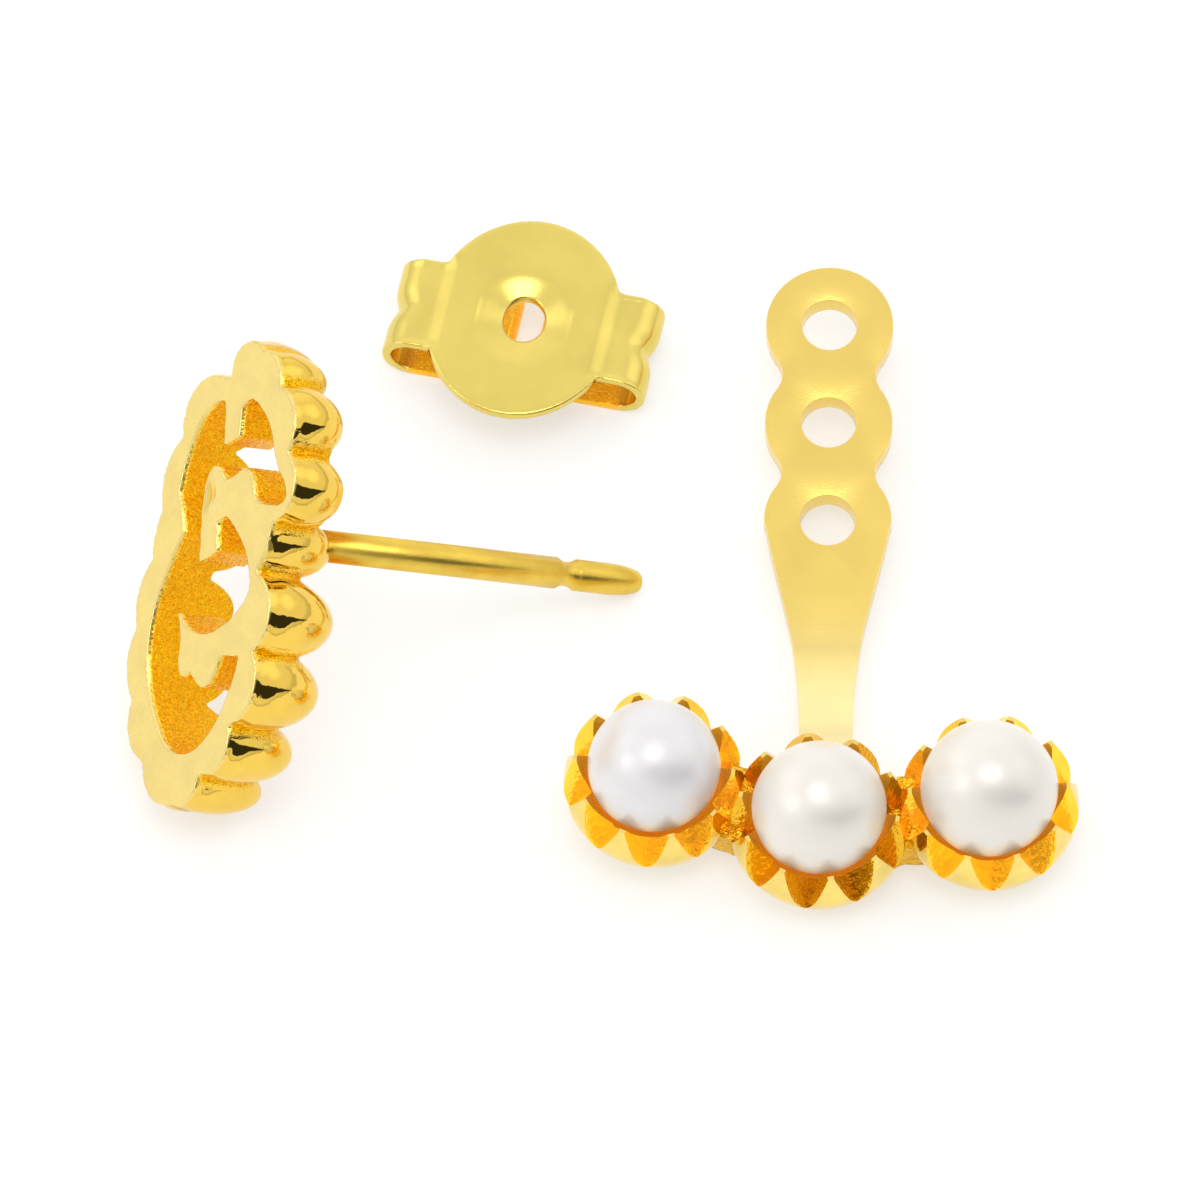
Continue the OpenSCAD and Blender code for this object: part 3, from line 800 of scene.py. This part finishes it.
def make_cup(side):
    cup = cup_body(side)
    cutter = make_notches(TOOTH_PHASE[side])
    # The side cups' notches take the lit copy with its painted glow, the centre cup's the painted shaded
    # copy
    finishes = [CUP_GOLD, SHADED_NOTCH_GOLD if side == "centre" else NOTCH_GOLD, HOLLOW_GOLD]
    for material in finishes:
        cup.data.materials.append(material)
        cutter.data.materials.append(material)
    cut(cup, cutter)
    wear_teeth(cup)
    cup.data.shade_smooth()
    index = np.empty(len(cup.data.polygons), np.int32)
    cup.data.polygons.foreach_get("material_index", index)
    place = JACKET_PLACE @ Matrix.Translation(cup_centre(side))
    lay(cup, place, ["ear_jacket"], finishes)
    cup.data.polygons.foreach_set("material_index", index)
    return cup


def make_web(side):
    """The rough cast metal between the centre cup and a side cup."""
    bm = bmesh.new()
    bmesh.ops.create_cube(bm, size=1.0)
    bmesh.ops.scale(bm, vec=WEB_SIZE, verts=bm.verts)
    bmesh.ops.subdivide_edges(bm, edges=bm.edges[:], cuts=14, use_grid_fill=True)
    fine, high = WEB_ROUGH
    noise.seed_set(WEB_SEED)
    for v in bm.verts:
        v.co += noise.noise_vector(v.co * fine + Vector((7, 3, 1))) * high
    centre = cup_centre(side)
    place = (
        Matrix.Translation((centre.x / 2, centre.y / 2, NECK_STEP + WEB_MIDDLE))
        @ Matrix.Rotation(math.atan2(centre.y, centre.x), 4, "Z")
    )
    bmesh.ops.transform(bm, matrix=place, verts=bm.verts)
    web = as_object("web_" + side, bm)
    web.data.shade_smooth()
    return lay(web, JACKET_PLACE, ["ear_jacket"], [WEB_GOLD])


def make_pearl(side):
    bm = bmesh.new()
    radius = PEARL_D[side] / 2
    bmesh.ops.create_uvsphere(bm, u_segments=96, v_segments=64, radius=radius)
    shift = Vector((len(side), 2.0 * radius, 1.0))
    for v in bm.verts:
        swell = sum(noise.noise(v.co * fine + shift) * high for fine, high in PEARL_SWELLS)
        v.co *= 1 - PEARL_SPARE + swell
    seat = CUP_FLOOR + PEARL_GAP + radius
    pearl = as_object("pearl_body_" + side, bm)
    # The seat mark: where the painted reflection of the cup's gold lies on the pearl
    mark(pearl, "seat", 1 - smoothstep(*SEAT_FADE, coords(pearl)[:, 2] + seat))
    pearl.data.shade_smooth()
    place = JACKET_PLACE @ Matrix.Translation(cup_centre(side) + Vector((0, 0, seat)))
    slot, finish = ("cool_pearl", COOL_NACRE) if side == "left" else ("warm_pearl", WARM_NACRE)
    return lay(pearl, place, ["pearl_" + side], [finish])


# Friction back

def wing_drop(x, y):
    """How far the sheet sinks below the disc where it runs on into a wing."""
    beside = 1 - smoothstep(WING_W / 2 + DROP_ACROSS[0], WING_W / 2 + DROP_ACROSS[1], abs(y))
    return WING_DROP * float(smoothstep(*DROP_OUT, abs(x)) * beside)


def wing_path(grip_x):
    """Middle line of one wing: out from the disc, down round the roll and in to the grip."""
    roll_r = (ROLL_H - SHEET_T) / 2
    roll_x = WING_SPAN / 2 - SHEET_T / 2 - roll_r
    path = [(x, ROLL_H - SHEET_T / 2) for x in np.linspace(DISC_W / 4, roll_x, 12, endpoint=False)]
    for a in np.radians(np.linspace(90, -90, 21)):
        path.append((roll_x + roll_r * math.cos(a), ROLL_H / 2 + roll_r * math.sin(a)))
    for a in np.radians(np.linspace(-90, GRIP_END, 17)):
        path.append((grip_x + GRIP_R * math.cos(a), SHEET_T / 2 + GRIP_R * (1 + math.sin(a))))
    return np.array(path)


def make_wing(sign):
    """A strip of the sheet rolled under, pinched a little in the middle of its width."""
    path = wing_path(GRIP_X[sign])
    along = np.gradient(path, axis=0)
    along /= np.linalg.norm(along, axis=1)[:, None]
    outward = np.stack([-along[:, 1], along[:, 0]], axis=1) * SHEET_T / 2
    section = np.concatenate([path + outward, (path - outward)[::-1]])
    bm = bmesh.new()
    rows = []
    for y in np.linspace(-WING_W / 2, WING_W / 2, 15):
        pinch = PINCH * math.exp(-(y / PINCH_HALF) ** 2)
        rows.append([])
        for x, z in section:
            place = (sign * (x - pinch * smoothstep(*PINCH_OUT, x)), y, z - wing_drop(x, y) * z / ROLL_H)
            rows[-1].append(bm.verts.new(place))
    for a, b in zip(rows, rows[1:]):
        for i in range(len(section)):
            bm.faces.new((a[i - 1], a[i], b[i], b[i - 1]))
    for end in (rows[0], rows[-1]):
        bm.faces.new(end)
    bmesh.ops.recalc_face_normals(bm, faces=bm.faces)
    return bm


def make_disc():
    """The oval disc, which dips towards its hole and sinks where the wings begin."""
    steps = 96
    bm = bmesh.new()
    rings = []
    for share in np.linspace(0, 1, 26):
        verts = []
        for k in range(steps):
            a = 2 * math.pi * k / steps
            x0, y0 = CLUTCH_HOLE[0] * math.cos(a), HOLE_BACK + CLUTCH_HOLE[1] * math.sin(a)
            x1, y1 = DISC_W / 2 * math.cos(a), DISC_L / 2 * math.sin(a)
            x, y = x0 + (x1 - x0) * share, y0 + (y1 - y0) * share
            spare = (FUNNEL_R - math.hypot(x, y)) / FUNNEL_SOFT
            sunk = FUNNEL_SLOPE * FUNNEL_SOFT * math.log1p(math.exp(spare)) + wing_drop(x, y)
            verts.append(bm.verts.new((x, y, ROLL_H - SHEET_T - sunk)))
        rings.append(verts)
    for a, b in zip(rings, rings[1:]):
        for k in range(steps):
            bm.faces.new((a[k - 1], b[k - 1], b[k], a[k]))
    pull(bm, (0, 0, SHEET_T))
    return bm


def make_clutch():
    bm = make_disc()
    for sign in (-1, 1):
        add_body(bm, make_wing(sign))
    clutch = as_object("friction_back_sheet", bm)
    fuse(clutch, CLUTCH_VOXEL, 8)
    points = coords(clutch)
    inside = smoothstep(*INSIDE_FADE, ROLL_H - SHEET_T - points[:, 2])
    middle = 1 - smoothstep(*ROLL_FADE, np.abs(points[:, 0]))
    # The cast mark here carries the painted orange bounce light inside the rolls
    mark(clutch, "cast", inside * middle)
    clutch.data.shade_smooth()
    return lay(clutch, CLUTCH_PLACE, ["friction_back"], [CLUTCH_GOLD])


# Studio

def make_floor():
    bm = bmesh.new()
    bmesh.ops.create_grid(bm, x_segments=1, y_segments=1, size=FLOOR_HALF)
    floor = as_object("floor", bm)
    material, _, shader = new_material("pale_table")
    shader.inputs["Base Color"].default_value = (0.5, 0.5, 0.5, 1)
    shader.inputs["Roughness"].default_value = 0.9
    shader.inputs["Specular IOR Level"].default_value = 0.0
    shader.inputs["Emission Color"].default_value = (1, 1, 1, 1)
    shader.inputs["Emission Strength"].default_value = FLOOR_GLOW
    floor.data.materials.append(material)
    floor.location.z = cad_low.z - FLOOR_BELOW


def dot_with(tree, way, direction):
    dot = node(tree, "ShaderNodeVectorMath", operation="DOT_PRODUCT")
    dot.inputs[1].default_value = direction.normalized()
    tree.links.new(way, dot.inputs[0])
    return dot.outputs["Value"]


def round_patch(tree, way, middle, reach, blur):
    """1 inside a round patch of the surroundings, of a reach and a soft edge in degrees."""
    edge = [math.cos(math.radians(reach + side * blur / 2)) for side in (1, -1)]
    return map_range(tree, dot_with(tree, way, Vector(middle)), edge, (0, 1), "SMOOTHSTEP")


def dark_wedge(tree, way):
    """1 inside the dark wedge of the surroundings, which narrows along its arc."""
    start, finish = WEDGE_FROM.normalized(), WEDGE_TO.normalized()
    across = start.cross(finish).normalized()
    onward = across.cross(start)
    turn = combine(tree, "ARCTAN2", dot_with(tree, way, onward), dot_with(tree, way, start))
    width = map_range(tree, turn, (0, start.angle(finish)), WEDGE_WIDTHS)
    off = combine(tree, "ABSOLUTE", dot_with(tree, way, across), 0.0)
    inside = map_range(tree, combine(tree, "SUBTRACT", width, off), WEDGE_SOFT, (0, 1), "SMOOTHSTEP")
    begun = map_range(tree, turn, WEDGE_END, (0, 1), "SMOOTHSTEP")
    return combine(tree, "MULTIPLY", inside, begun)


def make_world():
    """A white light tent with brighter patches, darker low down, round the camera and in a wedge."""
    world = bpy.data.worlds.new("light_tent")
    bpy.context.scene.world = world
    world.use_nodes = True
    tree = world.node_tree
    back = tree.nodes["Background"]
    way = node(tree, "ShaderNodeTexCoord").outputs["Generated"]
    split = node(tree, "ShaderNodeSeparateXYZ")
    tree.links.new(way, split.inputs[0])
    band = node(tree, "ShaderNodeValToRGB")
    stops = band.color_ramp.elements
    stops[0].position, stops[0].color = 0.0, TENT_LOW
    stops[1].position, stops[1].color = 1.0, (1.0, 1.0, 1.0, 1)
    for position, level in TENT_LEVELS:
        stops.new(position).color = (level, level, level, 1)
    tree.links.new(split.outputs["Z"], band.inputs["Fac"])
    gap = combine(tree, "MULTIPLY", round_patch(tree, way, GAP_AT, GAP_REACH, GAP_BLUR), GAP_SHARE)
    dark = combine(tree, "MAXIMUM", dark_wedge(tree, way), gap)
    tone = shaded(tree, band.outputs["Color"], map_range(tree, dark, (0, 1), (1.0, DARK_LEVEL)))
    tree.links.new(tone, back.inputs["Color"])
    strength = TENT_STRENGTH
    for middle, reach, blur, level in PATCHES:
        strength = blend(tree, round_patch(tree, way, middle, reach, blur), strength, level)
    tree.links.new(strength, back.inputs["Strength"])


def make_key_light():
    lamp = bpy.data.lights.new("key", "AREA")
    lamp.shape, lamp.size, lamp.energy = "DISK", KEY_SIZE, KEY_WATTS
    light = bpy.data.objects.new("key", lamp)
    light.location = KEY_AT
    light.rotation_euler = (-Vector(KEY_AT)).to_track_quat("-Z", "Y").to_euler()
    bpy.context.scene.collection.objects.link(light)


def make_camera():
    lens = bpy.data.cameras.new("camera")
    camera = bpy.data.objects.new("camera", lens)
    bpy.context.scene.collection.objects.link(camera)
    tilt_up = math.radians(CAMERA_TILT)
    back = Vector((0, -math.cos(tilt_up), math.sin(tilt_up)))
    camera.location = SET_CENTRE * MM + back * CAMERA_AWAY
    camera.rotation_euler = (-back).to_track_quat("-Z", "Y").to_euler()
    view_w = PHOTO_PX / PX_PER_MM * MM
    lens.sensor_width = SENSOR_MM
    lens.lens = SENSOR_MM * CAMERA_AWAY / view_w
    lens.clip_start, lens.clip_end = CAMERA_CLIP
    bpy.context.scene.camera = camera


make_camera()
make_floor()
make_world()
make_key_light()
make_head()
make_post()
make_plate()
for side in ("left", "centre", "right"):
    make_cup(side)
    make_pearl(side)
for side in ("left", "right"):
    make_web(side)
make_clutch()

bpy.context.scene.view_settings.view_transform = "Standard"
